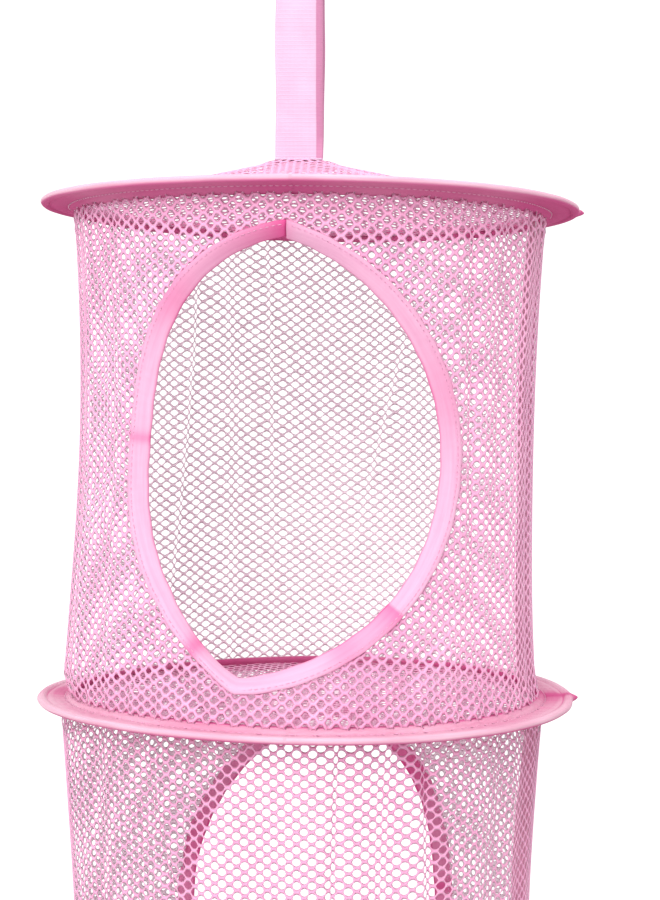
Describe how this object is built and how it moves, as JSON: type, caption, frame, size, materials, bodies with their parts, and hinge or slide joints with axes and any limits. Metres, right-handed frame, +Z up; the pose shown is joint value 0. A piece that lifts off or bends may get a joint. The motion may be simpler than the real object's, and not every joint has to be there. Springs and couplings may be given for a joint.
{
  "type": "hanging mesh laundry bag",
  "caption": "Round hanging mesh laundry bag: net tiers between wire hoops in fabric rims, each tier with a tape-bound side opening, folding flat along its axis under a webbing loop.",
  "frame": {"origin": "the hanging point: the inside of the top of the webbing loop, on the bag's axis", "axes": "+Z up along the bag's axis; -Y towards the side that the first and third openings face; +X along the width of the webbing"},
  "size_m": [0.2826, 0.2826, 0.9215],
  "materials": {
    "net": "knitted polyester net with staggered holes",
    "sleeve_fabric": "thin woven nylon with a satin sheen",
    "binding_tape": "satin binding tape",
    "webbing": "ribbed flat webbing",
    "thread": "twisted polyester sewing thread",
    "spring_wire": "drawn spring wire",
    "ferrule_metal": "crimped tube"
  },
  "bodies": {
    "strap": {"hanging_strap": "webbing"},
    "top_hoop": {"strap_tab": "webbing", "strap_stitching": "thread", "anchor_patch": "sleeve_fabric", "top_panel": "net", "hoop_wire_1": "spring_wire", "hoop_ferrule_1": "ferrule_metal", "rim_sleeve_1": "sleeve_fabric", "rim_stitching_1": "thread", "wall_net_1": "net", "side_seam_1": "net", "opening_binding_1": "binding_tape", "binding_stitching_1": "thread"},
    "second_hoop": {"hoop_wire_2": "spring_wire", "hoop_ferrule_2": "ferrule_metal", "rim_sleeve_2": "sleeve_fabric", "rim_stitching_2": "thread", "floor_net_1": "net", "wall_net_2": "net", "side_seam_2": "net", "opening_binding_2": "binding_tape", "binding_stitching_2": "thread"},
    "third_hoop": {"hoop_wire_3": "spring_wire", "hoop_ferrule_3": "ferrule_metal", "rim_sleeve_3": "sleeve_fabric", "rim_stitching_3": "thread", "floor_net_2": "net", "wall_net_3": "net", "side_seam_3": "net", "opening_binding_3": "binding_tape", "binding_stitching_3": "thread"},
    "bottom_hoop": {"hoop_wire_4": "spring_wire", "hoop_ferrule_4": "ferrule_metal", "rim_sleeve_4": "sleeve_fabric", "rim_stitching_4": "thread", "floor_net_3": "net"}
  },
  "joints": [
    {"name": "strap_bend", "type": "hinge", "parent": "strap", "child": "top_hoop", "pos_m": [0, 0, -0.104], "axis": [1, 0, 0], "range_deg": [-75, 75]},
    {"name": "collapse_1", "type": "slide", "parent": "top_hoop", "child": "second_hoop", "axis": [0, 0, 1], "range_m": [0, 0.246], "deforming": ["wall_net_1", "side_seam_1", "opening_binding_1", "binding_stitching_1"]},
    {"name": "collapse_2", "type": "slide", "parent": "second_hoop", "child": "third_hoop", "axis": [0, 0, 1], "range_m": [0, 0.246], "deforming": ["wall_net_2", "side_seam_2", "opening_binding_2", "binding_stitching_2"]},
    {"name": "collapse_3", "type": "slide", "parent": "third_hoop", "child": "bottom_hoop", "axis": [0, 0, 1], "range_m": [0, 0.246], "deforming": ["wall_net_3", "side_seam_3", "opening_binding_3", "binding_stitching_3"]}
  ]
}
